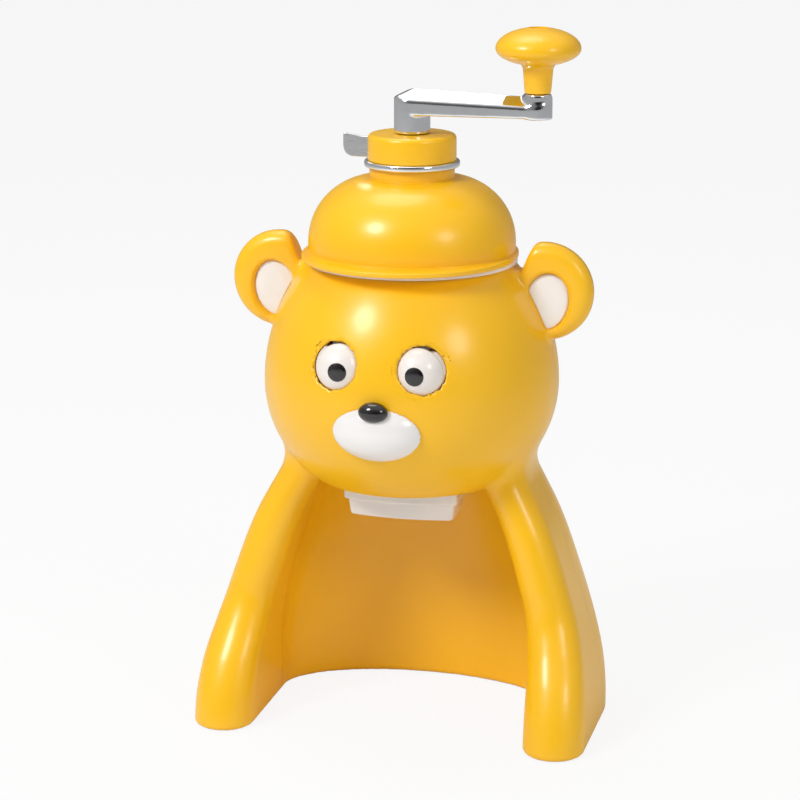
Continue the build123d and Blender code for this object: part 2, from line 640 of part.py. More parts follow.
def arm_section(x, half, eave, ridge):
    corners = ((-half, CRANK_LOW), (half, CRANK_LOW), (half, eave), (0, ridge), (-half, eave))
    return Plane.YZ.offset(x) * make_face(Polyline(*corners, close=True))


def crank_arm():
    """A cast arm with a ridged back, a round boss at the spindle and a hub under the knob."""
    beam = loft([arm_section(*row) for row in ARM_SECTIONS], ruled=True)
    ends = Circle(BOSS_TOP_R) + Pos(CRANK_X, 0) * Circle(CRANK_END_R)
    plan = Pos(0, 0, CRANK_LOW - 1) * extrude(make_hull(ends.edges()), amount=20)
    arm = beam & plan
    arm += upright(BOSS_TOP_R, COLLAR_TOP + MOVE_GAP, CRANK_LOW + 4)
    arm += upright(CRANK_END_R, CRANK_LOW, CRANK_END_TOP, CRANK_X)
    arm -= upright(TENON_R, COLLAR_TOP, TENON_TOP)
    return arm - upright(KNOB_PIN_R, CRANK_LOW + 2.5, CRANK_END_TOP + 1, CRANK_X)


def knob_pin():
    return upright(KNOB_PIN_R, CRANK_LOW + 2.5, KNOB_SEAT + 0.2, CRANK_X)


def knob_screw():
    head = upright(4.3, KNOB_SEAT + 0.2, KNOB_SEAT + 2.6, CRANK_X)
    return fillet(head.edges().group_by(Axis.Z)[-1], 0.9)


def knob():
    """A mushroom knob that turns freely on its pin."""
    with BuildPart() as part:
        with BuildSketch(Plane.XZ):
            with BuildLine():
                EllipticalCenterArc((0, KNOB_MID), KNOB_R, KNOB_RISE, start_angle=0, arc_size=90)
                EllipticalCenterArc((0, KNOB_MID), KNOB_R, KNOB_UNDER, start_angle=-90, arc_size=90)
                Line((0, KNOB_MID - KNOB_UNDER), (0, KNOB_TOP))
            make_face()
        revolve(axis=Axis.Z)
    stem = turned((0, KNOB_LOW), (STEM_LOW_R, KNOB_LOW), (STEM_TOP_R, KNOB_MID - KNOB_UNDER + 1),
                  (STEM_TOP_R, KNOB_MID), (0, KNOB_MID))
    body = part.part + stem
    body -= upright(KNOB_PIN_R + TURN_GAP, KNOB_LOW - 1, KNOB_SEAT)
    body -= upright(SEAT_R, KNOB_SEAT, KNOB_TOP + 1)
    return Pos(CRANK_X, 0, 0) * body


# ---------------------------------------------------------------- write every piece
def main():
    front, rear, outer = build_covers()
    pieces = {
        "front_cover": front,
        "rear_cover": rear,
        "base_plate": base_plate(),
        "foot_pads": foot_pads(),
        "case_screws": case_screws(),
        "ear_right": ear(),
        "ear_left": mirror(ear(), Plane.YZ),
        "ear_pad_right": ear_pad(),
        "ear_pad_left": mirror(ear_pad(), Plane.YZ),
        "muzzle": muzzle(outer),
        "nose": nose(outer),
        "eye_carrier": eye_carrier(),
        "eye_spring": eye_spring(),
        "eye_yoke": eye_yoke(),
        "hopper": hopper(),
        "hopper_rim": hopper_rim(),
        "blade_holder": blade_holder(),
        "blade": blade(),
        "holder_screws": Compound(children=holder_screw_list()),
        "lid_shell": lid_shell(),
        "trim_ring": trim_ring(),
        "collar_cap": collar_cap(),
        "tab_spring": tab_spring(),
        "release_tab": release_tab(),
        "nut_slide": nut_slide(),
        "eye_cam": eye_cam(),
        "spindle": spindle(),
        "claw_pin": claw_pin(),
        "ice_claw": ice_claw(),
        "crank_arm": crank_arm(),
        "knob_pin": knob_pin(),
        "knob_screw": knob_screw(),
        "knob": knob(),
    }
    for side, name in ((-1, "left"), (1, "right")):
        pieces["eye_" + name] = eye(side)
        pieces["pupil_" + name] = pupil(side)
        pieces["eye_arm_" + name] = eye_arm(side)
    for name, solid in pieces.items():
        export_step(solid, f"parts/{name}.step")


main()
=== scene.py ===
"""Dresses the packed ice shaver: smooth moulded shells, lid, crank and fittings, with their finishes."""

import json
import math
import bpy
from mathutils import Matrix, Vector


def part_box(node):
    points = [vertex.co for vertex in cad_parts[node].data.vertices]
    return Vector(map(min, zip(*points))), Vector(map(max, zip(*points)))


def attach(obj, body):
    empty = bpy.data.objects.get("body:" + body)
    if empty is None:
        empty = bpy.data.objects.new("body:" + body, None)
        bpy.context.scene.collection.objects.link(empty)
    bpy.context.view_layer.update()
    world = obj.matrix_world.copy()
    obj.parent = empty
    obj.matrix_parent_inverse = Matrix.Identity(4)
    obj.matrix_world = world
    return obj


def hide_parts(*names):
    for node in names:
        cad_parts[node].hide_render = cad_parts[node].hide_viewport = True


bl_info = {
    "name": "Cranked Ice Shaver",
    "version": (1, 0, 0),
    "blender": (4, 5, 0),
    "location": "3D View > Sidebar > Ice Shaver",
    "description": "Builds the visible pieces of a hand-cranked ice shaver round its packed frame",
    "category": "Object",
}

import bmesh
import bpy
import numpy as np
from mathutils import Vector

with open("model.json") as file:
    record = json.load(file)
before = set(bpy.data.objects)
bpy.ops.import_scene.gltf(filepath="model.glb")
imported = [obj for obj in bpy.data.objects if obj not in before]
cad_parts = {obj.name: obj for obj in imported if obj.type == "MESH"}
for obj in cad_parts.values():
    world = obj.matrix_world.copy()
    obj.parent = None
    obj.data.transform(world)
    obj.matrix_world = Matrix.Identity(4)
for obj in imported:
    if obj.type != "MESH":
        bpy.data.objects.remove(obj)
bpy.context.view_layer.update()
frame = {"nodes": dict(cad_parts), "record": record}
MM = 0.001


def in_mm(node):
    """The lowest and highest corner of a node, in millimetres."""
    low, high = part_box(node)
    return [v / MM for v in low], [v / MM for v in high]


# ---------------------------------------------------------------- sizes and colours
class ShaverSizes(bpy.types.PropertyGroup):
    shell_mesh: bpy.props.FloatProperty(
        name="Shell mesh", description="Spacing of the mesh over the yellow shells", default=0.0016,
        unit="LENGTH")
    fine_mesh: bpy.props.FloatProperty(
        name="Fine mesh", description="Spacing of the mesh over the crank, chute and face", default=0.0006,
        unit="LENGTH")
    shell_wall: bpy.props.FloatProperty(
        name="Shell wall", description="Thickness of the yellow shells", default=0.0028, unit="LENGTH")
    shoulder_blend: bpy.props.FloatProperty(
        name="Shoulder blend", description="Softness where the head meets the shoulders", default=0.011,
        unit="LENGTH")
    floor_edge: bpy.props.FloatProperty(
        name="Floor edge", description="Radius of the shells' edge on the table", default=0.0024,
        unit="LENGTH")
    thread_pitch: bpy.props.FloatProperty(
        name="Thread pitch", description="Rise of the spindle's thread in a turn", default=0.005,
        unit="LENGTH")
    lens: bpy.props.FloatProperty(
        name="Lens", description="Focal length of the camera in millimetres", default=116.5, unit="CAMERA")


class ShaverColours(bpy.types.PropertyGroup):
    yellow: bpy.props.FloatVectorProperty(
        name="Shell yellow", description="Colour of the glossy shells", subtype="COLOR", size=3,
        default=(0.95, 0.52, 0.006), min=0, max=1)
    white: bpy.props.FloatVectorProperty(
        name="Hopper white", description="Colour of the hopper and chute", subtype="COLOR", size=3,
        default=(0.84, 0.79, 0.74), min=0, max=1)
    cream: bpy.props.FloatVectorProperty(
        name="Pad cream", description="Colour of the muzzle and ear pads", subtype="COLOR", size=3,
        default=(0.86, 0.84, 0.82), min=0, max=1)
    dark: bpy.props.FloatVectorProperty(
        name="Nose black", description="Colour of the nose and pupils", subtype="COLOR", size=3,
        default=(0.012, 0.010, 0.010), min=0, max=1)
    grey: bpy.props.FloatVectorProperty(
        name="Inner grey", description="Colour of the inner plastic", subtype="COLOR", size=3,
        default=(0.32, 0.32, 0.33), min=0, max=1)


def size(name):
    """A size in millimetres."""
    return getattr(bpy.context.scene.shaver_sizes, name) / MM


def colours():
    return bpy.context.scene.shaver_colours


# ---------------------------------------------------------------- paint
class Value:
    """A socket that holds a number, for use in plain arithmetic."""

    def __init__(self, paint, socket):
        self.paint, self.socket = paint, socket

    def maths(self, operation, *others):
        inputs = {0: self} | dict(enumerate(others, 1))
        node = self.paint.node("ShaderNodeMath", {"operation": operation}, inputs)
        return Value(self.paint, node.outputs[0])

    def __add__(self, other):
        return self.maths("ADD", other)

    __radd__ = __add__

    def __sub__(self, other):
        return self.maths("SUBTRACT", other)

    def __rsub__(self, other):
        return (self * -1.0) + other

    def __mul__(self, other):
        return self.maths("MULTIPLY", other)

    __rmul__ = __mul__

    def between(self, low, high):
        """0 at low and 1 at high, with a soft step."""
        node = self.paint.node("ShaderNodeMapRange", {"interpolation_type": "SMOOTHSTEP"},
                               {"Value": self, "From Min": low, "From Max": high})
        return Value(self.paint, node.outputs["Result"])


class Nodes:
    """A node tree under construction."""

    def __init__(self, tree):
        self.tree = tree

    def node(self, kind, settings=None, inputs=None):
        made = self.tree.nodes.new(kind)
        for name, value in (settings or {}).items():
            setattr(made, name, value)
        for socket, value in (inputs or {}).items():
            source = getattr(value, "socket", value)
            if isinstance(source, bpy.types.NodeSocket):
                self.tree.links.new(source, made.inputs[socket])
            else:
                made.inputs[socket].default_value = source
        return made

    def place(self, scale=1.0, stretch=(1.0, 1.0, 1.0)):
        coords = self.node("ShaderNodeTexCoord")
        moved = self.node("ShaderNodeMapping", None,
                          {"Vector": coords.outputs["Object"], "Scale": [scale * s for s in stretch]})
        return moved.outputs["Vector"]

    def value(self, socket):
        return Value(self, socket)

    def noise(self, scale, detail=2.0, roughness=0.5, stretch=(1.0, 1.0, 1.0)):
        made = self.node("ShaderNodeTexNoise", None,
                         {"Vector": self.place(1.0, stretch), "Scale": scale, "Detail": detail,
                          "Roughness": roughness})
        return Value(self, made.outputs["Fac"])

    def mix(self, factor, first, second):
        made = self.node("ShaderNodeMix", {"data_type": "RGBA"}, {0: factor, 6: first, 7: second})
        return made.outputs[2]


class Paint(Nodes):
    """One material under construction."""

    def __init__(self, name, **fixed):
        self.material = bpy.data.materials.new(name)
        self.material.use_nodes = True
        super().__init__(self.material.node_tree)
        self.shader = self.tree.nodes["Principled BSDF"]
        for socket, value in fixed.items():
            self.shader.inputs[socket.replace("_", " ")].default_value = value

    def bump(self, height, strength, distance):
        made = self.node("ShaderNodeBump", None,
                         {"Height": height, "Strength": strength, "Distance": distance})
        self.set("Normal", made.outputs["Normal"])

    def set(self, socket, value):
        self.tree.links.new(getattr(value, "socket", value), self.shader.inputs[socket])


def tone(colour, factor):
    return [min(1.0, c * factor) for c in colour] + [1.0]


PAINTS = {}


def paint_moulded(name, colour, gloss=0.2, deep=0.94, coat=0.2, orange=0.02):
    """Injection-moulded plastic: faint flow tone, handled smudges and a trace of orange peel."""
    paint = Paint(name, Coat_Weight=coat, Coat_Roughness=0.16, IOR=1.46)
    flow = paint.noise(9.0, 3.0, 0.45)
    smudge = paint.noise(28.0, 5.0, 0.6).between(0.42, 0.72)
    fine = paint.noise(900.0, 2.0)
    paint.set("Base Color", paint.mix(flow, tone(colour, deep), tone(colour, 1.03)))
    paint.set("Roughness", smudge * 0.06 + fine * 0.03 + (gloss - 0.03))
    paint.bump(paint.noise(140.0, 2.0) * 0.7 + fine * 0.3, orange, 0.0006)
    PAINTS[name] = paint.material


def paint_rubber():
    paint = Paint("rubber_pad", Specular_IOR_Level=0.3)
    grain = paint.noise(700.0, 3.0)
    dust = paint.noise(60.0)
    paint.set("Base Color", paint.mix(dust, (0.018, 0.018, 0.018, 1), (0.035, 0.034, 0.033, 1)))
    paint.set("Roughness", grain * 0.2 + 0.65)
    paint.bump(grain, 0.3, 0.0003)
    PAINTS["rubber_pad"] = paint.material


def paint_chrome():
    """Plated castings: bright, with a haze of fine wipe marks."""
    paint = Paint("chrome", Metallic=1.0)
    haze = paint.noise(40.0, 4.0, 0.6).between(0.45, 0.75)
    wipe = paint.noise(220.0, 2.0, 0.5, (1.0, 6.0, 6.0))
    paint.set("Base Color", paint.mix(haze, (0.80, 0.81, 0.83, 1), (0.72, 0.73, 0.75, 1)))
    paint.set("Roughness", haze * 0.05 + wipe * 0.03 + 0.05)
    paint.bump(paint.noise(60.0, 2.0), 0.02, 0.0006)
    PAINTS["chrome"] = paint.material


def paint_steel():
    """Rolled or turned steel with a fine directional grain."""
    paint = Paint("steel", Metallic=1.0)
    grain = paint.noise(300.0, 4.0, 0.65, (0.15, 3.0, 3.0))
    paint.set("Base Color", paint.mix(grain, (0.50, 0.50, 0.51, 1), (0.66, 0.66, 0.67, 1)))
    paint.set("Roughness", grain * 0.18 + 0.2)
    paint.bump(grain, 0.08, 0.0002)
    PAINTS["steel"] = paint.material


def finish(piece, body, slot, *nodes):
    """Gives a piece its paint, its place on a body and the nodes that it stands for."""
    piece.data.materials.clear()
    piece.data.materials.append(PAINTS[slot])
    piece.data.shade_smooth()
    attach(piece, body)
    if nodes:
        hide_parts(*nodes)


# ---------------------------------------------------------------- meshes
CREASE = math.radians(40)       # edges that turn more than this stay sharp


def mesh_piece(name, points, faces):
    """An object from points in millimetres."""
    mesh = bpy.data.meshes.new(name)
    mesh.from_pydata([tuple(p) for p in np.asarray(points, float) * MM], [], [tuple(f) for f in faces])
    mesh.validate()
    piece = bpy.data.objects.new(name, mesh)
    bpy.context.collection.objects.link(piece)
    return piece


def rounded(corners, arc_steps=7):
    """A profile whose corners (x, z, radius) are rounded with that radius."""
    points = []
    for k, (x, z, radius) in enumerate(corners):
        here = np.array((x, z), float)
        before = np.array(corners[k - 1][:2], float) if k else None
        after = np.array(corners[k + 1][:2], float) if k + 1 < len(corners) else None
        if radius <= 0 or before is None or after is None:
            points.append(here)
            continue
        to_before = (before - here) / np.linalg.norm(before - here)
        to_after = (after - here) / np.linalg.norm(after - here)
        half = math.acos(np.clip(np.dot(to_before, to_after), -1, 1)) / 2
        reach = min(radius / math.tan(half), 0.49 * np.linalg.norm(before - here),
                    0.49 * np.linalg.norm(after - here))
        start, end = here + to_before * reach, here + to_after * reach
        for step in range(arc_steps + 1):
            t = step / arc_steps
            points.append((1 - t) ** 2 * start + 2 * t * (1 - t) * here + t * t * end)
    return points


def arc(r, z, wide, high, start, end, count):
    """Corners of a profile along part of an ellipse, from start to end in degrees."""
    return [(r + wide * math.cos(t), z + high * math.sin(t), 0)
            for t in np.linspace(math.radians(start), math.radians(end), count)]


def turned(name, corners, segments, spot=(0.0, 0.0), reach=None, closed=True):
    """A piece turned about a vertical axis. reach(radius, height, angle) may push points outwards."""
    profile = rounded(corners)
    rings = len(profile)
    points, faces = [], []
    for s in range(segments):
        angle = 2 * math.pi * s / segments
        for r, z in profile:
            far = reach(r, z, angle) if reach else r
            points.append((spot[0] + far * math.cos(angle), spot[1] + far * math.sin(angle), z))
    for s in range(segments):
        here, there = s * rings, ((s + 1) % segments) * rings
        last = rings if closed else rings - 1
        for k in range(last):
            after = (k + 1) % rings
            faces.append((here + k, there + k, there + after, here + after))
    piece = mesh_piece(name, points, faces)
    tidy_mesh(piece)
    return piece


def tidy_mesh(piece):
    """Joins points on the axis and turns every face outwards."""
    gap = 0.0005
    work = bmesh.new()
    work.from_mesh(piece.data)
    bmesh.ops.remove_doubles(work, verts=work.verts, dist=gap * MM)
    bmesh.ops.dissolve_degenerate(work, edges=work.edges, dist=gap * MM)
    bmesh.ops.recalc_face_normals(work, faces=work.faces)
    work.to_mesh(piece.data)
    work.free()


def soft_edges(piece, width, segments=3, angle=35.0):
    """Rounds the sharp edges of a piece by width millimetres."""
    bevel = piece.modifiers.new("Soft edges", "BEVEL")
    bevel.width = width * MM
    bevel.segments = segments
    bevel.limit_method = "ANGLE"
    bevel.angle_limit = math.radians(angle)
    bevel.harden_normals = True


def settle(piece):
    """Applies the piece's modifiers."""
    graph = bpy.context.evaluated_depsgraph_get()
    done = bpy.data.meshes.new_from_object(piece.evaluated_get(graph))
    piece.modifiers.clear()
    piece.data = done


def take_out(piece, box):
    """Cuts a box, given by its lowest and highest corner, out of a piece."""
    low, high = box
    spots = [(x, y, z) for x in (low[0], high[0]) for y in (low[1], high[1]) for z in (low[2], high[2])]
    faces = ((0, 1, 3, 2), (4, 6, 7, 5), (0, 4, 5, 1), (2, 3, 7, 6), (0, 2, 6, 4), (1, 5, 7, 3))
    block = mesh_piece("block", spots, faces)
    tidy_mesh(block)
    hole = piece.modifiers.new("Hole", "BOOLEAN")
    hole.operation, hole.object, hole.solver = "DIFFERENCE", block, "EXACT"
    settle(piece)
    bpy.data.objects.remove(block)


def plate(name, outline, thick):
    """A flat plate in the XZ plane from its outline."""
    count = len(outline)
    points = [(x, -thick / 2, z) for x, z in outline] + [(x, thick / 2, z) for x, z in outline]
    faces = [tuple(range(count)), tuple(range(2 * count - 1, count - 1, -1))]
    faces += [(k, k + count, (k + 1) % count + count, (k + 1) % count) for k in range(count)]
    piece = mesh_piece(name, points, faces)
    tidy_mesh(piece)
    return piece


# ---------------------------------------------------------------- skins over fields
def soft_min(a, b, blend):
    """The union of two fields, with a fillet of about that size."""
    h = np.clip(0.5 + 0.5 * (b - a) / blend, 0, 1)
    return b * (1 - h) + a * h - blend * h * (1 - h)


def soft_max(a, b, blend):
    return -soft_min(-a, -b, blend)


def slope(field, points, reach=0.02):
    """The gradient of a field at some points."""
    rows = []
    for axis in range(3):
        ahead, behind = points.copy(), points.copy()
        ahead[:, axis] += reach
        behind[:, axis] -= reach
        rows.append((field(*ahead.T) - field(*behind.T)) / (2 * reach))
    return np.stack(rows, axis=1)


def onto(field, points, rounds=3, furthest=0.8):
    """Moves points onto the field's zero surface."""
    for _ in range(rounds):
        steep = slope(field, points)
        length = np.maximum((steep ** 2).sum(axis=1), 0.25)
        move = steep * (field(*points.T) / length)[:, None]
        far = np.linalg.norm(move, axis=1, keepdims=True)
        points = points - move * np.minimum(1.0, furthest / np.maximum(far, 1e-9))
    return points


def crossings(value, lines, step):
    """One point and number for each cell that the zero surface passes through."""
    inside = value < 0
    cells = np.array(inside.shape) - 1
    total = np.zeros((*cells, 3))
    count = np.zeros(cells)
    for axis in range(3):
        near = [slice(None)] * 3
        far = [slice(None)] * 3
        near[axis], far[axis] = slice(0, -1), slice(1, None)
        a, b = value[tuple(near)], value[tuple(far)]
        change = (a < 0) != (b < 0)
        share = np.where(change, a / np.where(change, a - b, 1.0), 0.0)
        u, v = (axis + 1) % 3, (axis + 2) % 3
        for du in (0, 1):
            for dv in (0, 1):
                pick = [slice(None)] * 3
                pick[u] = slice(du, du + cells[u])
                pick[v] = slice(dv, dv + cells[v])
                here = change[tuple(pick)]
                count += here
                total[..., axis] += share[tuple(pick)] * here
                total[..., u] += du * here
                total[..., v] += dv * here
    crossed = count > 0
    number = np.full(cells, -1)
    number[crossed] = np.arange(crossed.sum())
    start = np.array([line[0] for line in lines])
    points = start + (np.argwhere(crossed) + total[crossed] / count[crossed][:, None]) * step
    return inside, number, points


RELAX_ROUNDS = 2


def skin(name, field, low, high, step):
    """A closed quad mesh over the zero surface of a field given in millimetres."""
    lines = [np.arange(a - 1.5 * step, b + 2.5 * step, step) for a, b in zip(low, high)]
    value = field(*np.meshgrid(*lines, indexing="ij"))
    inside, number, points = crossings(value, lines, step)
    cells = number.shape
    quads = []
    for axis in range(3):
        u, v = (axis + 1) % 3, (axis + 2) % 3
        near = [slice(None)] * 3
        far = [slice(None)] * 3
        near[axis], far[axis] = slice(0, -1), slice(1, None)
        spot = np.argwhere(inside[tuple(near)] != inside[tuple(far)])
        spot = spot[(spot[:, u] > 0) & (spot[:, v] > 0) & (spot[:, u] < cells[u]) & (spot[:, v] < cells[v])]
        ring = []
        for du, dv in ((1, 1), (0, 1), (0, 0), (1, 0)):
            cell = spot.copy()
            cell[:, u] -= du
            cell[:, v] -= dv
            ring.append(number[tuple(cell.T)])
        ring = np.stack(ring, axis=1)
        leaves = inside[tuple(spot.T)]
        ring[~leaves] = ring[~leaves][:, ::-1]
        quads.append(ring)
    quads = np.concatenate(quads)
    edges = np.concatenate([quads[:, [k, (k + 1) % 4]] for k in range(4)])
    edges = np.unique(np.sort(edges, axis=1), axis=0)
    points = onto(field, points)
    for _ in range(RELAX_ROUNDS):
        total = np.zeros_like(points)
        count = np.zeros(len(points))
        for a, b in ((0, 1), (1, 0)):
            np.add.at(total, edges[:, a], points[edges[:, b]])
            np.add.at(count, edges[:, a], 1)
        points = onto(field, points * 0.5 + 0.5 * total / count[:, None], 2)
    return mesh_piece(name, points, quads)


def cut(piece, level, axis, keep_above=True):
    """Cuts a piece at a plane, in millimetres, and drops one side."""
    spot, way = Vector((0, 0, 0)), Vector((0, 0, 0))
    spot[axis], way[axis] = level * MM, 1.0
    work = bmesh.new()
    work.from_mesh(piece.data)
    everything = work.verts[:] + work.edges[:] + work.faces[:]
    bmesh.ops.bisect_plane(work, geom=everything, plane_co=spot, plane_no=way,
                           clear_inner=keep_above, clear_outer=not keep_above, dist=1e-7)
    work.to_mesh(piece.data)
    work.free()


# ---------------------------------------------------------------- the form of the shells, in millimetres
HEAD_R, HEAD_MID, HEAD_ARC_LOW, HEAD_ARC_HIGH = 76.0, 178.0, 61.5, 92.0
HEAD_FLOOR, HEAD_RIM = 126.0, 240.0
ARCH_BACK, CURVE_START = 43.0, 5.0
SOLE_Z = 0.6                    # the shells stand off the table by this, on the rubber pads
CUT_LOW = -4.0                  # the fields run on below the sole, and are cut there
STAND_TOP = 152.0               # the stand ends inside the head
SHOULDER_IN, SHOULDER_OUT = 48.0, 60.0  # the blend to the head grows between these radii
ARCH_BLEND, EAR_BLEND = 1.5, 3.0
MOUTH_R, MOUTH_BAND = 40.4, 3.5  # the hopper's hole, and how far its ragged edge reaches
POST_SLOT_Y, POST_SLOT_HALF, POST_SLOT_LONG = -41.3, 2.6, 4.8   # the notch for the follower post
SPLIT_Y = -1.0
STAND_LEVELS = np.array((       # height, half width, leg thickness, leg tip centre, outer back
    (-12.0, 103.0, 31.5, -53.5, 84.0),
    (0.0, 103.0, 31.5, -53.0, 84.0),
    (16.0, 102.8, 31.5, -49.5, 82.7),
    (34.0, 100.8, 30.0, -42.0, 80.7),
    (50.0, 97.2, 28.0, -32.5, 78.8),
    (62.0, 93.8, 26.5, -27.0, 77.2),
    (80.0, 88.0, 25.5, -24.5, 74.7),
    (108.0, 77.5, 24.5, -21.0, 71.0),
    (132.0, 65.0, 24.0, -16.0, 67.0),
    (150.0, 56.0, 24.0, -12.0, 63.0),
))
EAR_X, EAR_Z, EAR_R, EAR_HALF = 69.5, 227.5, 25.2, 7.0
DISH_WIDE, DISH_HIGH, DISH_DEEP = 11.4, 14.9, 4.0
DISH_X, DISH_Z, DISH_LEAN = 71.2, 222.7, math.radians(12.0)
LID_WAY_R, LID_WAY_LOW, LID_WAY_FLARE = 58.5, 238.0, math.radians(22.0)
EYE_SPOT, EYE_R, SOCKET_GAP = (19.5, -61.0, 197.0), 14.0, 0.4


def level_curve(z, column):
    """A smooth curve through the stand's levels."""
    knots, values = STAND_LEVELS[:, 0], STAND_LEVELS[:, column]
    tilt = np.gradient(values, knots)
    z = np.clip(z, knots[0], knots[-1])
    k = np.clip(np.searchsorted(knots, z, side="right") - 1, 0, len(knots) - 2)
    wide = knots[k + 1] - knots[k]
    t = (z - knots[k]) / wide
    return ((1 + 2 * t) * (1 - t) ** 2 * values[k] + t * (1 - t) ** 2 * wide * tilt[k]
            + t * t * (3 - 2 * t) * values[k + 1] - t * t * (1 - t) * wide * tilt[k + 1])


def ring_field(x, y, a, b):
    """Distance to an ellipse, near enough close to it."""
    k = np.sqrt((x / a) ** 2 + (y / b) ** 2) + 1e-9
    return (k - 1) * k / np.sqrt((x / a ** 2) ** 2 + (y / b ** 2) ** 2 + 1e-12)


def stand_field(x, y, z):
    half, leg = level_curve(z, 1), level_curve(z, 2)
    tip, back = level_curve(z, 3), level_curve(z, 4)
    edge = size("floor_edge")
    under = np.clip(SOLE_Z + edge - z, 0, edge)
    curl = edge - np.sqrt(edge ** 2 - under ** 2)
    inner = half - leg
    side = np.abs(x)
    straight = np.hypot(side - (half + inner) / 2, np.minimum(y - tip, 0)) - leg / 2
    rise = np.maximum(y - CURVE_START, 0)
    bend = np.maximum(ring_field(x, rise, half, back - CURVE_START),
                      -ring_field(x, rise, inner, ARCH_BACK - CURVE_START))
    return np.where(y < CURVE_START, straight, bend) * 0.93 + curl


def head_field(x, y, z):
    r = np.hypot(x, y)
    high = np.hypot(r - (HEAD_R - HEAD_ARC_HIGH), z - HEAD_MID) - HEAD_ARC_HIGH
    low = np.hypot(np.maximum(r - (HEAD_R - HEAD_ARC_LOW), 0), z - HEAD_MID) - HEAD_ARC_LOW
    egg = np.where(z > HEAD_MID, high, low)
    return soft_max(soft_max(egg, HEAD_FLOOR - z, 3.0), z - HEAD_RIM, 0.8)


def oval(x, z, grow=0.0):
    """Distance to the leaning oval of an ear's dish, for the side x > 0."""
    u, v = x - DISH_X, z - DISH_Z
    along = u * math.cos(DISH_LEAN) - v * math.sin(DISH_LEAN)
    up = u * math.sin(DISH_LEAN) + v * math.cos(DISH_LEAN)
    return ring_field(along, up, DISH_WIDE + grow, DISH_HIGH + grow)


def ear_field(x, y, z):
    side = np.abs(x)
    far = np.hypot(side - EAR_X, z - EAR_Z)
    disc = np.hypot(np.maximum(far - (EAR_R - EAR_HALF), 0), y - SPLIT_Y) - EAR_HALF
    dish = soft_max(oval(side, z), y - (SPLIT_Y - EAR_HALF + DISH_DEEP), 1.0)
    flare = math.tan(LID_WAY_FLARE)
    way = (LID_WAY_R + (z - LID_WAY_LOW) * flare - np.hypot(x, y)) * math.cos(LID_WAY_FLARE)
    return soft_max(soft_max(disc, -dish, 2.2), np.minimum(way, z - LID_WAY_LOW), 3.0)


def shell_field(x, y, z):
    stand, head = stand_field(x, y, z), head_field(x, y, z)
    far = np.hypot(x, np.maximum(y, 0))
    outside = np.clip((far - SHOULDER_IN) / (SHOULDER_OUT - SHOULDER_IN), 0, 1)
    blend = ARCH_BLEND + (size("shoulder_blend") - ARCH_BLEND) * outside
    body = soft_min(soft_max(stand, z - STAND_TOP, 2.0), head, blend)
    body = soft_min(body, ear_field(x, y, z), EAR_BLEND)
    eye = np.sqrt((np.abs(x) - EYE_SPOT[0]) ** 2 + (y - EYE_SPOT[1]) ** 2 + (z - EYE_SPOT[2]) ** 2)
    return soft_max(np.maximum(body, CUT_LOW - z), EYE_R + SOCKET_GAP - eye, 1.2)


def open_mouth(piece):
    """Takes out the flat faces where the hopper passes, and rounds the holes' edges to a circle."""
    work = bmesh.new()
    work.from_mesh(piece.data)

    def radius(v):
        return math.hypot(v.co.x, v.co.y) / MM

    def in_post_slot(face):
        middle = face.calc_center_median() / MM
        return abs(middle.x) < POST_SLOT_HALF and abs(middle.y - POST_SLOT_Y) < POST_SLOT_LONG

    gone = [f for f in work.faces if any(radius(v) < MOUTH_R for v in f.verts) or in_post_slot(f)]
    bmesh.ops.delete(work, geom=gone, context="FACES")
    for v in work.verts:
        near_edge = v.is_boundary and MOUTH_R <= radius(v) < MOUTH_R + MOUTH_BAND
        if near_edge and abs(v.co.x) > (POST_SLOT_HALF + 0.2) * MM:
            v.co.xy *= MOUTH_R / radius(v)
    work.to_mesh(piece.data)
    work.free()


def make_shells():
    low, high = in_mm("front_cover")
    back, top = in_mm("rear_cover")[1][1], in_mm("ear_left")[1][2]
    whole = skin("shells", shell_field, (low[0], low[1], CUT_LOW), (high[0], back, top), size("shell_mesh"))
    open_mouth(whole)
    cut(whole, low[2] + 0.02, 2)
    for name, nodes, front in (("front_shell", ("front_cover", "ear_left", "ear_right"), True),
                               ("rear_shell", ("rear_cover",), False)):
        piece = whole.copy()
        piece.data = whole.data.copy()
        piece.name = name
        bpy.context.collection.objects.link(piece)
        cut(piece, SPLIT_Y, 1, keep_above=not front)
        wall = piece.modifiers.new("Wall", "SOLIDIFY")
        wall.thickness, wall.offset = size("shell_wall") * MM, -1
        settle(piece)
        finish(piece, "stand", "yellow_shell", *nodes)
    bpy.data.objects.remove(whole)


# ---------------------------------------------------------------- operators
class ShaverOperator:
    bl_options = {"REGISTER", "UNDO"}

    def execute(self, context):
        self.build()
        return {"FINISHED"}


class OBJECT_OT_shaver_paints(ShaverOperator, bpy.types.Operator):
    """Mixes every finish and paints the nodes that stay as they are"""
    bl_idname = "object.shaver_paints"
    bl_label = "Finishes"

    def build(self):
        c = colours()
        paint_moulded("yellow_shell", tuple(c.yellow), 0.33, 0.97)
        paint_moulded("white_plastic", tuple(c.white), 0.25, 0.97)
        paint_moulded("cream_pad", tuple(c.cream), 0.22, 0.97)
        paint_moulded("dark_nose", tuple(c.dark), 0.1, 0.8, 0.6)
        paint_moulded("grey_plastic", tuple(c.grey), 0.4, 0.9, 0.0, 0.08)
        paint_rubber()
        paint_chrome()
        paint_steel()
        for part in frame["record"]["subparts"]:
            node = frame["nodes"][part["node"]]
            node.data.materials.clear()
            node.data.materials.append(PAINTS[part["material_slot"]])


class OBJECT_OT_shaver_shells(ShaverOperator, bpy.types.Operator):
    """Moulds the front and rear shells: stand, head and ears in one smooth form"""
    bl_idname = "object.shaver_shells"
    bl_label = "Shells"

    def build(self):
        make_shells()


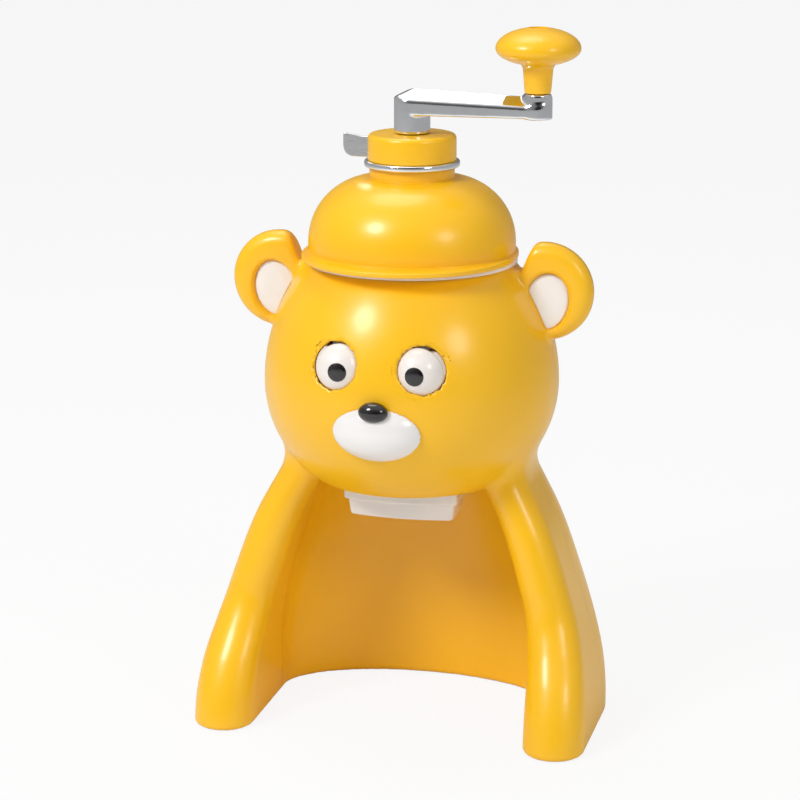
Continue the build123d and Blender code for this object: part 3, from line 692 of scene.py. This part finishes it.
class OBJECT_OT_shaver_face(ShaverOperator, bpy.types.Operator):
    """Makes the muzzle, nose, ear pads and eyes"""
    bl_idname = "object.shaver_face"
    bl_label = "Face"

    def build(self):
        make_muzzle()
        make_ear_pads()
        make_eyes()


class OBJECT_OT_shaver_lid(ShaverOperator, bpy.types.Operator):
    """Turns the lid, its trim ring and the collar, and shapes the release tab"""
    bl_idname = "object.shaver_lid"
    bl_label = "Lid"

    def build(self):
        make_lid()
        make_collar()
        make_tab()


class OBJECT_OT_shaver_crank(ShaverOperator, bpy.types.Operator):
    """Casts the crank arm, turns the knob and cuts the spindle's thread"""
    bl_idname = "object.shaver_crank"
    bl_label = "Crank"

    def build(self):
        make_crank()
        make_knob()
        make_spindle()


class OBJECT_OT_shaver_chute(ShaverOperator, bpy.types.Operator):
    """Makes the white blade holder under the head"""
    bl_idname = "object.shaver_chute"
    bl_label = "Chute"

    def build(self):
        make_chute()


class OBJECT_OT_shaver_stage(ShaverOperator, bpy.types.Operator):
    """Sets the floor, the lamps, the world and the camera"""
    bl_idname = "object.shaver_stage"
    bl_label = "Stage"

    def build(self):
        make_camera()
        make_floor()
        make_room()
        for name, spot, extent, power in LAMPS:
            lamp(name, spot, extent, power)
        bpy.context.scene.view_settings.view_transform = "Standard"


# ---------------------------------------------------------------- face
MUZZLE_SPOT, MUZZLE_HALVES = (0.0, -65.0, 168.0), (25.0, 17.0, 17.0)
MUZZLE_BOX = ((-26, -84, 150), (26, -55, 186))
NOSE_SPOT, NOSE_HALVES = (0.0, -78.9, 179.0), (7.5, 5.1, 5.2)
NOSE_BOX, NOSE_MESH = ((-8, -84, 173), (8, -73, 185)), 0.45
GLUE_GAP = 0.3                          # between the glued pads and the head
EAR_LINING, LINING_EDGE, LINING_FALL = 2.1, 6.0, 0.05   # thickness, width of the sunk edge, its fall
BALL_TURN = math.radians(67)            # the dressed ball's edge, seen from its middle
BALL_BACK_R, BALL_BACK = 11.5, 4.5
PUPIL_R, PUPIL_BACK, PUPIL_FRONT = 4.7, 13.2, 14.5


def bead(x, y, z, spot, halves):
    """Distance to an egg-round bead, near enough close to it."""
    far = np.sqrt(sum(((v - middle) / half) ** 2 for v, middle, half in zip((x, y, z), spot, halves)))
    return (far - 1) * halves[2]


def make_muzzle():
    def field(x, y, z):
        dome = bead(x, y, z, MUZZLE_SPOT, MUZZLE_HALVES)
        return soft_max(dome, GLUE_GAP - head_field(x, y, z), 0.8)

    muzzle = skin("muzzle_dome", field, *MUZZLE_BOX, size("fine_mesh"))
    finish(muzzle, "stand", "cream_pad", "muzzle")
    nose = skin("nose_bead", lambda x, y, z: bead(x, y, z, NOSE_SPOT, NOSE_HALVES), *NOSE_BOX, NOSE_MESH)
    finish(nose, "stand", "dark_nose", "nose")


def make_ear_pads():
    floor = SPLIT_Y - EAR_HALF + DISH_DEEP
    for side, name in ((-1, "left"), (1, "right")):
        def field(x, y, z, side=side):
            rim = oval(x * side, z, -0.15)
            face = y - (floor - EAR_LINING + LINING_FALL * np.maximum(rim + LINING_EDGE, 0) ** 1.6)
            disc = soft_max(np.maximum(rim, y - floor), -face, 1.2)
            return soft_max(disc, GLUE_GAP - head_field(x, y, z), 0.8)

        low, high = in_mm("ear_pad_" + name)
        pad = skin("ear_lining_" + name, field, low, high, size("fine_mesh"))
        finish(pad, "stand", "cream_pad", "ear_pad_" + name)


def make_eyes():
    """The front of each ball runs on past the flats, so that no gap shows in the socket."""
    for side, name in ((-1, "left"), (1, "right")):
        x0 = side * EYE_SPOT[0]
        steps = [(EYE_R * math.sin(t), EYE_R * math.cos(t)) for t in np.linspace(0, BALL_TURN, 24)]
        profile = [(r, h + 0.02, 0) for r, h in steps] + [(BALL_BACK_R, steps[-1][1], 0), (0, BALL_BACK, 0)]
        white = turned("eye_ball_" + name, profile, 96, closed=False)
        cap = ((0, PUPIL_BACK, 0), (PUPIL_R, PUPIL_BACK, 0), (PUPIL_R, PUPIL_BACK + 0.25, 0.2),
               (PUPIL_R - 1.5, PUPIL_FRONT - 0.45, 1.5), (0, PUPIL_FRONT, 0))
        pupil = turned("pupil_cap_" + name, cap, 64, closed=False)
        for piece in (white, pupil):
            for v in piece.data.vertices:
                x, y, z = v.co
                v.co = Vector((x0 * MM + x, EYE_SPOT[1] * MM - z, EYE_SPOT[2] * MM + y))
            tidy_mesh(piece)
        finish(white, "eye_" + name, "white_plastic")
        finish(pupil, "eye_" + name, "dark_nose", "pupil_" + name)


# ---------------------------------------------------------------- lid
LID_Z, LID_WALL = 242.4, 2.6
CROWN_R, CROWN_ARC, CROWN_Z = 53.0, 33.0, 250.0     # the crown's wall turns over above that height
BRIM_ROOT_R, BRIM_R, BRIM_FRONT, BRIM_THICK = 53.2, 54.5, 64.0, 3.2
NECK_R, NECK_IN, SPIGOT_R, BORE_R = 21.6, 19.0, 19.8, 6.3
RING_R, RING_LOW, RING_TOP = 24.3, 288.4, 291.7
DECK_LOW, DECK_TOP = 289.0, 292.0
BOSS_R, BOSS_LOW, SNAP_R, SNAP_Z, CAM_BORE_R = 14.5, 254.0, 12.4, 262.0, 10.15
COLLAR_R, COLLAR_IN, COLLAR_ROOF, COLLAR_TOP = 22.5, 20.0, 302.5, 305.0
SLIT_BOX = ((-26, -1.2, 290), (-12, 1.2, 303.0))    # where the release tab comes out of the collar
TAB_ROOT_X, TAB_STEP_X, TAB_BEND_X, TAB_END_X = -11.5, -17.5, -26.5, -36.0
TAB_LOW, TAB_ROOT_Z, TAB_TOP, TAB_END_TOP, TAB_THICK = 292.1, 300.4, 302.6, 304.4, 1.6


def brim_reach(r, z, angle):
    """The brim stands out further at the front."""
    if r < BRIM_ROOT_R or z > LID_Z + BRIM_THICK + LID_WALL / 2:
        return r
    front = max(0.0, -math.sin(angle)) ** 1.5
    return r + (r - BRIM_ROOT_R) / (BRIM_R - BRIM_ROOT_R) * (BRIM_FRONT - BRIM_R) * front


def make_lid():
    middle, top, inner = CROWN_R - CROWN_ARC, CROWN_Z + CROWN_ARC, CROWN_ARC - LID_WALL
    profile = [(CROWN_R - LID_WALL, LID_Z, 0.4), (BRIM_R, LID_Z, 1.0), (BRIM_R, LID_Z + BRIM_THICK, 1.0),
               (CROWN_R, LID_Z + BRIM_THICK, 1.4), (CROWN_R, CROWN_Z - 2.0, 0)]
    profile += arc(middle, CROWN_Z, CROWN_ARC, CROWN_ARC, 0, 90, 26)[:-1]
    profile += [(NECK_R, top, 2.4), (NECK_R, RING_LOW, 0.3), (SPIGOT_R, RING_LOW, 0),
                (SPIGOT_R, DECK_TOP, 0.4), (BORE_R, DECK_TOP, 0), (BORE_R, DECK_LOW, 0),
                (SNAP_R, DECK_LOW, 0), (SNAP_R, SNAP_Z, 0), (CAM_BORE_R, SNAP_Z, 0),
                (CAM_BORE_R, BOSS_LOW, 0.3), (BOSS_R, BOSS_LOW, 0.8), (BOSS_R, DECK_LOW, 0),
                (NECK_IN, DECK_LOW, 0), (NECK_IN, top - LID_WALL, 0)]
    profile += arc(middle, CROWN_Z, inner, inner, 90, 0, 20)
    lid = turned("lid_dome", profile, 192, reach=brim_reach)
    soft = lid.modifiers.new("Even shading", "WEIGHTED_NORMAL")
    soft.keep_sharp = True
    finish(lid, "lid", "yellow_shell", "lid_shell")


def make_collar():
    band = ((SPIGOT_R, RING_LOW, 0.2), (RING_R, RING_LOW, 1.2), (RING_R, RING_TOP, 1.2),
            (SPIGOT_R, RING_TOP, 0.2))
    finish(turned("ring_band", band, 160), "lid", "chrome", "trim_ring")
    profile = ((COLLAR_IN, RING_TOP, 0.2), (COLLAR_R, RING_TOP, 0.6), (COLLAR_R, COLLAR_TOP, 2.8),
               (BORE_R, COLLAR_TOP, 0.5), (BORE_R, COLLAR_ROOF, 0.2), (COLLAR_IN, COLLAR_ROOF, 0.4))
    collar = turned("collar_knob", profile, 160)
    take_out(collar, SLIT_BOX)
    finish(collar, "lid", "yellow_shell", "collar_cap")
    collar.data.set_sharp_from_angle(angle=CREASE)


def make_tab():
    corners = ((TAB_ROOT_X, TAB_LOW, 0), (TAB_ROOT_X, TAB_ROOT_Z, 0), (TAB_STEP_X, TAB_ROOT_Z, 0),
               (TAB_STEP_X, TAB_TOP, 0), (TAB_BEND_X, TAB_TOP, 4.0), (TAB_END_X, TAB_END_TOP, 1.4),
               (TAB_END_X, TAB_LOW, 6.0), (TAB_ROOT_X, TAB_LOW, 0))
    tab = plate("thumb_tab", rounded(corners, 10)[:-1], TAB_THICK)
    soft_edges(tab, 0.45, 3, 60)
    finish(tab, "release", "steel", "release_tab")


# ---------------------------------------------------------------- crank
CRANK_X, CRANK_LOW = 64.3, 315.0
CRANK_BOSS_R, CRANK_BOSS_LOW, CRANK_BOSS_TOP = 9.2, 305.4, 319.0
HUB_R, HUB_TOP = 6.8, 327.1
ARM_HALF, ARM_TAPER = 9.0, 2.2                  # half width over the spindle, and its loss at the knob
EAVE_Z, EAVE_FALL, RIDGE_Z, RIDGE_FALL = 323.0, 2.2, 328.0, 2.7
HIP_SLOPE = 0.5                                 # the ridge ends in a hip over the spindle
TENON_R, TENON_TOP = 4.6, 317.0
KNOB_LOW, KNOB_MID, KNOB_R, KNOB_RISE, KNOB_UNDER = 327.4, 349.5, 21.3, 10.5, 8.5
STEM_LOW_R, STEM_TOP_R, STEM_TOP = 6.6, 7.6, 339.5
SEAT_R, SEAT_Z, PIN_BORE_R = 5.2, 355.0, 3.15
SCREW_R, SCREW_EDGE_Z, SCREW_TOP = 4.3, 357.0, 357.7
SLOT_LONG, SLOT_WIDE, SLOT_FLOOR = 3.4, 0.5, 356.9    # half lengths of the screw's cross slot, its floor
SPINDLE_R, SPINDLE_LOW, SPINDLE_TOP = 5.98, 137.2, 316.9
THREAD_LOW, THREAD_TOP, THREAD_R, THREAD_DEEP = 148.0, 303.0, 6.0, 1.0
THREAD_AROUND = 48


def crank_field(x, y, z):
    t = np.clip(x / CRANK_X, 0, 1)
    half = CRANK_BOSS_R + (HUB_R - CRANK_BOSS_R) * t
    plan = (np.hypot(x - t * CRANK_X, y) - half) * 0.999
    eave, ridge = EAVE_Z - EAVE_FALL * t, RIDGE_Z - RIDGE_FALL * t
    wide = ARM_HALF - ARM_TAPER * t
    roof = (z - ridge + (ridge - eave) * np.abs(y) / wide) * 0.87
    hip = (z - RIDGE_Z - HIP_SLOPE * x) * 0.89
    arm = soft_max(soft_max(plan, CRANK_LOW - z, 0.8), soft_max(roof, hip, 1.2), 1.2)
    boss_ends = np.maximum(CRANK_BOSS_LOW - z, z - CRANK_BOSS_TOP)
    boss = soft_max(np.hypot(x, y) - CRANK_BOSS_R, boss_ends, 0.8)
    hub = soft_max(np.hypot(x - CRANK_X, y) - HUB_R, np.maximum(CRANK_LOW - z, z - HUB_TOP), 1.0)
    body = soft_min(np.minimum(arm, boss), hub, 2.4)
    return np.maximum(body, TENON_R - np.hypot(x, y) - 100.0 * (z > TENON_TOP))


def make_crank():
    low, high = in_mm("crank_arm")
    arm = skin("crank_casting", crank_field, low, high, size("fine_mesh"))
    finish(arm, "spindle", "chrome", "crank_arm")


def make_knob():
    spot = (CRANK_X, 0.0)
    profile = [(PIN_BORE_R, KNOB_LOW, 0.2), (STEM_LOW_R, KNOB_LOW, 0.7), (STEM_TOP_R, STEM_TOP, 2.5)]
    profile += arc(0, KNOB_MID, KNOB_R, -KNOB_UNDER, 66, 0, 16)
    profile += arc(0, KNOB_MID, KNOB_R, KNOB_RISE, 0, 75, 20)[1:]
    profile += [(SEAT_R + 0.2, KNOB_MID + KNOB_RISE - 0.25, 0.6), (SEAT_R, SEAT_Z, 0.3),
                (PIN_BORE_R, SEAT_Z, 0)]
    knob = turned("knob_grip", profile, 128, spot)
    finish(knob, "knob", "yellow_shell", "knob")
    head = ((0, SEAT_Z + 0.2, 0), (SCREW_R, SEAT_Z + 0.2, 0.2), (SCREW_R, SCREW_EDGE_Z, 0.9),
            (SCREW_R - 1.7, SCREW_TOP - 0.1, 1.0), (0, SCREW_TOP, 0))
    screw = turned("knob_screw_head", head, 64, spot, closed=False)
    for along, across in ((SLOT_LONG, SLOT_WIDE), (SLOT_WIDE, SLOT_LONG)):
        take_out(screw, ((CRANK_X - along, -across, SLOT_FLOOR), (CRANK_X + along, across, SCREW_TOP + 0.8)))
    finish(screw, "spindle", "chrome", "knob_screw")
    screw.data.set_sharp_from_angle(angle=CREASE)


def make_spindle():
    """A coarse rolled thread, with the key groove left to the solid."""
    pitch, low, high, around = size("thread_pitch"), THREAD_LOW, THREAD_TOP, THREAD_AROUND
    profile = ((0.0, 0.0), (0.18, 0.0), (0.32, -THREAD_DEEP), (0.68, -THREAD_DEEP), (0.82, 0.0))
    rows = int((high - low) / pitch * len(profile))
    points, faces = [], []
    for k in range(rows + 1):
        turn, part = divmod(k, len(profile))
        share, sink = profile[part]
        for s in range(around):
            angle = 2 * math.pi * s / around
            z = low + (turn + share + s / around - 1.0) * pitch
            r = THREAD_R + (sink if low + 2 < z < high - 2 else 0.0)
            points.append((r * math.cos(angle), r * math.sin(angle), min(max(z, low), high)))
    for k in range(rows):
        for s in range(around):
            here, above = k * around + s, (k + 1) * around + s
            if s + 1 < around:
                faces.append((here, here + 1, above + 1, above))
            elif k + len(profile) + 1 <= rows:
                up = (k + len(profile)) * around
                faces.append((here, up, up + around, above))
    thread = mesh_piece("threaded_spindle", points, faces)
    tidy_mesh(thread)
    foot_top, head_low = THREAD_LOW + 3.0, THREAD_TOP - 3.0
    profile = ((0, SPINDLE_LOW, 0), (SPINDLE_R, SPINDLE_LOW, 0.3), (SPINDLE_R, foot_top, 0),
               (TENON_R, foot_top, 0), (TENON_R, head_low, 0), (SPINDLE_R, head_low, 0),
               (SPINDLE_R, CRANK_BOSS_LOW, 0), (TENON_R, CRANK_BOSS_LOW, 0), (TENON_R, SPINDLE_TOP, 0),
               (0, SPINDLE_TOP, 0))
    ends = turned("spindle_ends", profile, 64, closed=False)
    finish(thread, "spindle", "steel")
    finish(ends, "spindle", "steel", "spindle")


# ---------------------------------------------------------------- chute
CHUTE_HALF, CHUTE_FRONT, CHUTE_BACK, CHUTE_BOW = 30.0, -25.4, 3.0, 3.4
CHUTE_TOP, CHUTE_STEP_Z, CHUTE_LOW = 126.0, 118.0, 109.0
SKIRT_INSET, SKIRT_TAPER = 1.8, 1.2
ICE_SLOT_HALF, ICE_SLOT_FRONT, ICE_SLOT_BACK = 22.0, -22.0, -13.0
SCREW_WELL_X, SCREW_WELL_Y, SCREW_WELL_R, SCREW_WELL_TOP = 21.0, -5.0, 2.7, 113.0


def make_chute():
    """The blade holder: a bowed flange over a recessed, tapered skirt, with the slot for the ice."""
    def plan(x, y, inset):
        half, front, back = CHUTE_HALF - inset, CHUTE_FRONT + inset, CHUTE_BACK - inset
        bow = CHUTE_BOW * (1 - np.clip(x / half, -1, 1) ** 2)
        return soft_max(np.abs(x) - half, np.maximum(front - bow - y, y - back), 1.6)

    def field(x, y, z):
        flange = soft_max(plan(x, y, 0), np.maximum(CHUTE_STEP_Z - z, z - CHUTE_TOP), 1.2)
        inset = SKIRT_INSET + SKIRT_TAPER * (CHUTE_STEP_Z - z) / (CHUTE_STEP_Z - CHUTE_LOW)
        skirt = soft_max(plan(x, y, inset), np.maximum(CHUTE_LOW - z, z - CHUTE_STEP_Z - 1.0), 1.2)
        body = soft_min(flange, skirt, 0.6)
        slot = np.maximum(np.abs(x) - ICE_SLOT_HALF, np.maximum(ICE_SLOT_FRONT - y, y - ICE_SLOT_BACK))
        well = np.hypot(np.abs(x) - SCREW_WELL_X, y - SCREW_WELL_Y) - SCREW_WELL_R
        screws = np.maximum(well, z - SCREW_WELL_TOP)
        return soft_max(soft_max(body, -slot, 0.8), -screws, 0.6)

    low, high = in_mm("blade_holder")
    holder = skin("chute", field, low, high, size("fine_mesh"))
    finish(holder, "hopper", "white_plastic", "blade_holder")


# ---------------------------------------------------------------- stage, in metres and watts
CAMERA_SPOT, CAMERA_PITCH, CAMERA_TURN = (0.3123, -1.2620, 0.4973), 75.7, 14.17
LAMP_AIM = (0, 0, 0.2)
LAMPS = (                       # name, place, extent, power
    ("key", (-0.80, -1.15, 1.35), (0.55, 0.55), 19.0),
    ("fill", (1.26, -0.92, 1.0), (0.5, 0.5), 5.5),
    ("top", (-0.3, 0.3, 1.7), (0.9, 0.9), 7.0),
)
ROOM_LIGHT = 0.36               # even light from all round
FRONT_X, FRONT_Y = 0.245, -0.97  # the way from the object to the camera, over the floor


def make_camera():
    """The photograph's view: from the front, a little to the right and above."""
    lens = bpy.data.cameras.new("camera")
    lens.lens = bpy.context.scene.shaver_sizes.lens
    lens.sensor_width = 36.0
    camera = bpy.data.objects.new("camera", lens)
    camera.location = CAMERA_SPOT
    camera.rotation_euler = (math.radians(CAMERA_PITCH), 0, math.radians(CAMERA_TURN))
    bpy.context.collection.objects.link(camera)
    bpy.context.scene.camera = camera


def lamp(name, spot, extent, power):
    light = bpy.data.lights.new(name, "AREA")
    light.shape = "ELLIPSE"
    light.size, light.size_y = extent
    light.energy = power
    made = bpy.data.objects.new(name, light)
    made.location = spot
    made.rotation_euler = (Vector(LAMP_AIM) - Vector(spot)).to_track_quat("-Z", "Y").to_euler()
    bpy.context.collection.objects.link(made)


def make_floor():
    """A white floor that stays white for the camera and keeps the object's shadow."""
    far = 4000
    corners = ((-far, -far, 0), (far, -far, 0), (far, far, 0), (-far, far, 0))
    floor = mesh_piece("floor", corners, ((0, 1, 2, 3),))
    paint = Paint("floor_white", Roughness=0.7)
    paint.shader.inputs["Base Color"].default_value = (0.9, 0.9, 0.9, 1)
    path = paint.node("ShaderNodeLightPath")
    seen = paint.value(path.outputs["Is Camera Ray"]).maths("MAXIMUM", path.outputs["Is Transmission Ray"])
    glow = paint.node("ShaderNodeEmission", None, {"Color": (0.985, 0.985, 0.985, 1), "Strength": 1.0})
    shade = paint.node("ShaderNodeMixShader", None,
                       {0: seen * 0.9, 1: paint.shader.outputs[0], 2: glow.outputs[0]})
    paint.tree.links.new(shade.outputs[0], paint.tree.nodes["Material Output"].inputs["Surface"])
    floor.data.materials.append(paint.material)


def make_room():
    """White for the camera, even light for the object, and soft boards for metal and gloss to mirror."""
    world = bpy.data.worlds.new("studio")
    world.use_nodes = True
    bpy.context.scene.world = world
    room = Nodes(world.node_tree)
    path = room.node("ShaderNodeLightPath")
    seen = room.value(path.outputs["Is Camera Ray"]).maths("MAXIMUM", path.outputs["Is Transmission Ray"])
    mirrored = room.value(path.outputs["Is Glossy Ray"])
    direction = room.node("ShaderNodeTexCoord").outputs["Generated"]
    way = room.node("ShaderNodeSeparateXYZ", None, {0: direction})
    x, y, z = (room.value(way.outputs[k]) for k in range(3))
    behind_camera = (x * FRONT_X + y * FRONT_Y).between(0.86, 0.97)
    from_side = (x * -FRONT_Y + y * FRONT_X).maths("ABSOLUTE")
    boards = 0.20 + 0.75 * z.between(0.45, 0.9) + 0.22 * from_side.between(0.5, 0.8)
    mirror = boards * (1.0 - behind_camera * 0.9)
    level = mirrored * mirror + (1.0 - mirrored) * ROOM_LIGHT
    sky = world.node_tree.nodes["Background"]
    room.tree.links.new((seen + (1.0 - seen) * level).socket, sky.inputs["Color"])
    sky.inputs["Strength"].default_value = 1.0


# ---------------------------------------------------------------- panel and run
class VIEW3D_PT_shaver(bpy.types.Panel):
    """Lists the sizes, colours and steps of the ice shaver"""
    bl_label = "Ice Shaver"
    bl_space_type = "VIEW_3D"
    bl_region_type = "UI"
    bl_category = "Ice Shaver"

    def draw(self, context):
        for group in (context.scene.shaver_sizes, context.scene.shaver_colours):
            for name in group.__annotations__:
                self.layout.prop(group, name)
        for step in STEPS:
            self.layout.operator(step.bl_idname)


STEPS = (
    OBJECT_OT_shaver_paints,
    OBJECT_OT_shaver_stage,
    OBJECT_OT_shaver_shells,
    OBJECT_OT_shaver_face,
    OBJECT_OT_shaver_lid,
    OBJECT_OT_shaver_crank,
    OBJECT_OT_shaver_chute,
)
CLASSES = (ShaverSizes, ShaverColours) + STEPS + (VIEW3D_PT_shaver,)


def register():
    for kind in CLASSES:
        bpy.utils.register_class(kind)
    bpy.types.Scene.shaver_sizes = bpy.props.PointerProperty(type=ShaverSizes)
    bpy.types.Scene.shaver_colours = bpy.props.PointerProperty(type=ShaverColours)


def unregister():
    del bpy.types.Scene.shaver_colours
    del bpy.types.Scene.shaver_sizes
    for kind in reversed(CLASSES):
        bpy.utils.unregister_class(kind)


def main():
    register()
    for step in STEPS:
        family, name = step.bl_idname.split(".")
        getattr(getattr(bpy.ops, family), name)()


if __name__ == "__main__":
    main()
